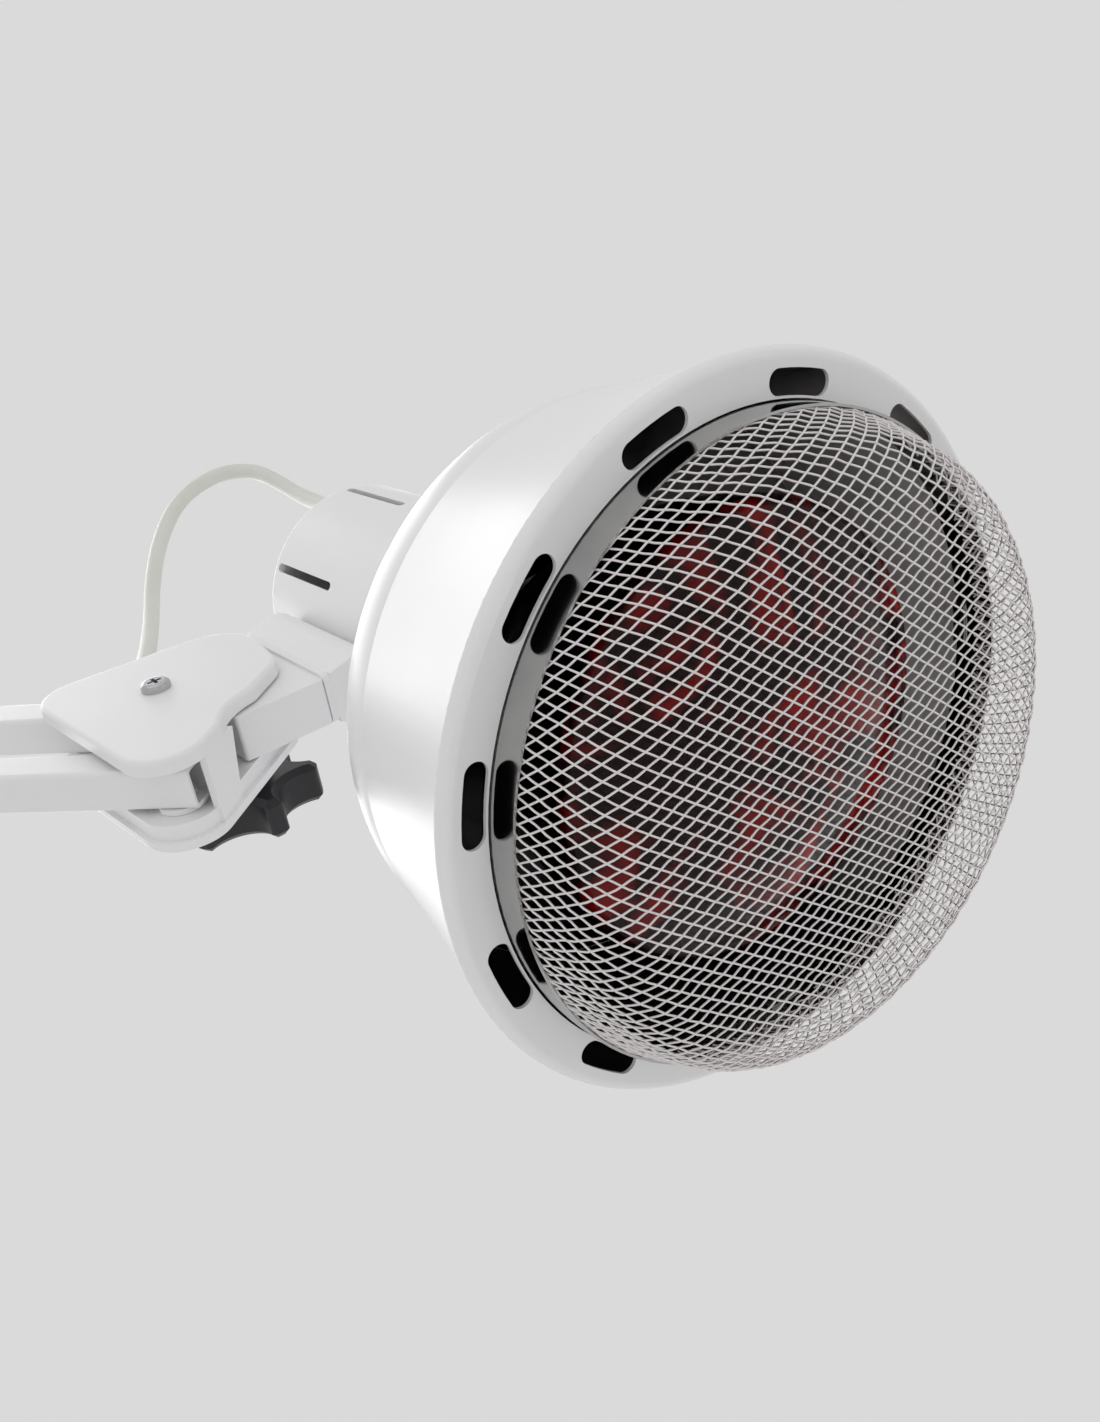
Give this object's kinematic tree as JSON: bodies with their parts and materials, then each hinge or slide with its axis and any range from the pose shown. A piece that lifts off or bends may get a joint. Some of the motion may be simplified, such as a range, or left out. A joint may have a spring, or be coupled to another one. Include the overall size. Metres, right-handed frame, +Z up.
{
  "type": "infrared heater lamp",
  "caption": "Infrared heater lamp: a red reflector bulb behind a wire guard in a bell shade, on a tilting head, a jointed parallel-bar arm and a table clamp.",
  "frame": {"origin": "centre of the rubber-faced underside of the clamp's upper jaw, where it rests on the table top", "axes": "+Z up, +X forward over the table towards the lamp head, +Y to the left"},
  "size_m": [0.6304, 0.2, 0.6744],
  "materials": {
    "white_enamel": "gloss stove enamel on steel",
    "white_moulding": "fine moulded semi-gloss",
    "polished_steel": "polished",
    "guard_wire": "bright drawn wire",
    "plated_steel": "zinc plated",
    "red_glass": "clear red front",
    "brass": "pressed",
    "filament": "drawn",
    "ceramic": "white glaze",
    "nylon": "natural",
    "black_knob": "fine texture",
    "white_rubber": "satin",
    "dark_rubber": "matt"
  },
  "bodies": {
    "clamp": {"clamp_body": "white_enamel", "jaw_pad": "dark_rubber"},
    "clamp_pad": {"clamp_pad": "plated_steel"},
    "clamp_screw": {"clamp_screw": "plated_steel", "clamp_handle": "plated_steel"},
    "fork": {"base_fork": "white_enamel", "swivel_post": "plated_steel", "fork_pin": "plated_steel", "fork_bolt": "plated_steel", "fork_knob_washer": "plated_steel"},
    "fork_knob": {"fork_knob": "black_knob"},
    "lower_front_bar": {"lower_front_bar": "white_enamel", "lower_front_bushes": "nylon", "lead_grommet": "white_rubber"},
    "lower_rear_bar": {"lower_rear_bar": "white_enamel", "lower_rear_bushes": "nylon"},
    "elbow": {"elbow_cover": "white_moulding", "elbow_body": "white_moulding", "elbow_screws": "plated_steel", "elbow_pins": "plated_steel", "elbow_bolt": "plated_steel", "elbow_knob_washer": "plated_steel"},
    "elbow_knob": {"elbow_knob": "black_knob"},
    "upper_front_bar": {"upper_front_bar": "white_enamel", "upper_front_bushes": "nylon"},
    "upper_rear_bar": {"upper_rear_bar": "white_enamel", "upper_rear_bushes": "nylon"},
    "knuckle": {"knuckle_cover": "white_moulding", "knuckle_body": "white_moulding", "knuckle_screw": "plated_steel", "knuckle_pins": "plated_steel", "tilt_bolt": "plated_steel", "tilt_washers": "nylon", "tilt_knob_washer": "plated_steel", "knuckle_grommet": "white_rubber"},
    "tilt_knob": {"tilt_knob": "black_knob"},
    "head": {"lamp_shade": "white_enamel", "shade_ring": "white_enamel", "guard_hoop": "polished_steel", "guard_clips": "plated_steel", "guard_mesh": "guard_wire", "bulb_glass": "red_glass", "bulb_cap": "brass", "bulb_filament": "filament", "lampholder": "ceramic", "lampholder_bracket": "plated_steel", "lampholder_screws": "plated_steel", "socket_housing": "white_moulding", "shade_screws": "plated_steel", "rear_cap": "white_moulding", "rear_cap_screws": "plated_steel", "cord_gland": "white_rubber", "head_cord": "white_rubber", "head_stem": "white_enamel", "saddle_plate": "white_enamel", "saddle_screws": "plated_steel"}
  },
  "joints": [
    {"name": "base_swivel", "type": "hinge", "parent": "clamp", "child": "fork", "pos_m": [-0.008, 0, 0.03], "axis": [0, 0, 1], "continuous": true},
    {"name": "lower_arm_pitch", "type": "hinge", "parent": "fork", "child": "lower_front_bar", "pos_m": [0.012, 0, 0.066], "axis": [0, 1, 0], "range_deg": [-15, 55]},
    {"name": "lower_rear_pitch", "type": "hinge", "parent": "fork", "child": "lower_rear_bar", "pos_m": [-0.028, 0, 0.078], "axis": [0, 1, 0], "range_deg": [-15, 55]},
    {"name": "elbow_level", "type": "hinge", "parent": "lower_front_bar", "child": "elbow", "pos_m": [-0.09153, 0, 0.45237], "axis": [0, 1, 0], "range_deg": [-55, 15]},
    {"name": "upper_arm_pitch", "type": "hinge", "parent": "elbow", "child": "upper_front_bar", "pos_m": [-0.06353, 0, 0.47637], "axis": [0, -1, 0], "range_deg": [-10, 75]},
    {"name": "upper_rear_pitch", "type": "hinge", "parent": "elbow", "child": "upper_rear_bar", "pos_m": [-0.0817, 0, 0.53258], "axis": [0, -1, 0], "range_deg": [-10, 75]},
    {"name": "knuckle_level", "type": "hinge", "parent": "upper_front_bar", "child": "knuckle", "pos_m": [0.24775, 0, 0.25841], "axis": [0, -1, 0], "range_deg": [-75, 10]},
    {"name": "head_tilt", "type": "hinge", "parent": "knuckle", "child": "head", "pos_m": [0.26843, 0, 0.31261], "axis": [0, -1, 0], "range_deg": [0, 75], "deforming": ["head_cord"]},
    {"name": "tilt_knob_turn", "type": "hinge", "parent": "knuckle", "child": "tilt_knob", "pos_m": [0.26843, 0.03, 0.31261], "axis": [0, 1, 0], "range_deg": [0, 360]},
    {"name": "elbow_knob_turn", "type": "hinge", "parent": "elbow", "child": "elbow_knob", "pos_m": [-0.06353, 0.03, 0.47637], "axis": [0, 1, 0], "range_deg": [0, 360]},
    {"name": "fork_knob_turn", "type": "hinge", "parent": "fork", "child": "fork_knob", "pos_m": [0.012, 0.03, 0.066], "axis": [0, 1, 0], "range_deg": [0, 360]},
    {"name": "clamp_travel", "type": "slide", "parent": "clamp", "child": "clamp_pad", "axis": [0, 0, 1], "range_m": [-0.028, 0.015]},
    {"name": "clamp_screw_turn", "type": "hinge", "parent": "clamp_pad", "child": "clamp_screw", "pos_m": [0, 0, -0.06], "axis": [0, 0, 1], "range_deg": [-3355, 1795]}
  ],
  "couplings": [
    {"joint": "lower_rear_pitch", "follows": "lower_arm_pitch", "ratio": 1},
    {"joint": "elbow_level", "follows": "lower_arm_pitch", "ratio": -1},
    {"joint": "upper_rear_pitch", "follows": "upper_arm_pitch", "ratio": 1},
    {"joint": "knuckle_level", "follows": "upper_arm_pitch", "ratio": -1},
    {"joint": "clamp_travel", "follows": "clamp_screw_turn", "m_per_rad": 0.00047746}
  ]
}
